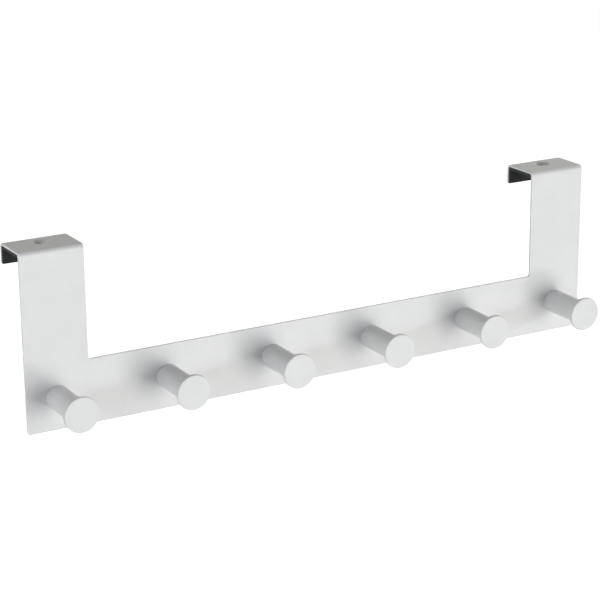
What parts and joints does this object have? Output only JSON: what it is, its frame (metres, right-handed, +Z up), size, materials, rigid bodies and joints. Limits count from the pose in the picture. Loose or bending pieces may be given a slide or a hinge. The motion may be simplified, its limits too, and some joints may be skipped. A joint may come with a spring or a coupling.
{
  "type": "over door hook rail",
  "caption": "U-shaped white coated steel rail with a row of round flat-headed pegs; each end strap folds into a lined clamp that hangs over the top of a door.",
  "frame": {"origin": "middle of the door's top edge: half way along the rail, half way across the door gap, at the lower face of the lining under the tabs", "axes": "+X along the rail, to the right seen from the front; +Y into the door; +Z up. The pegs point towards -Y."},
  "size_m": [0.345, 0.054, 0.096],
  "materials": {
    "coated_steel": "satin white powder coat",
    "door_lining": "matt black foam rubber"
  },
  "bodies": {
    "root": {"hook_plate": "coated_steel", "peg_1": "coated_steel", "peg_2": "coated_steel", "peg_3": "coated_steel", "peg_4": "coated_steel", "peg_5": "coated_steel", "peg_6": "coated_steel", "left_door_pad": "door_lining", "right_door_pad": "door_lining"}
  },
  "joints": []
}
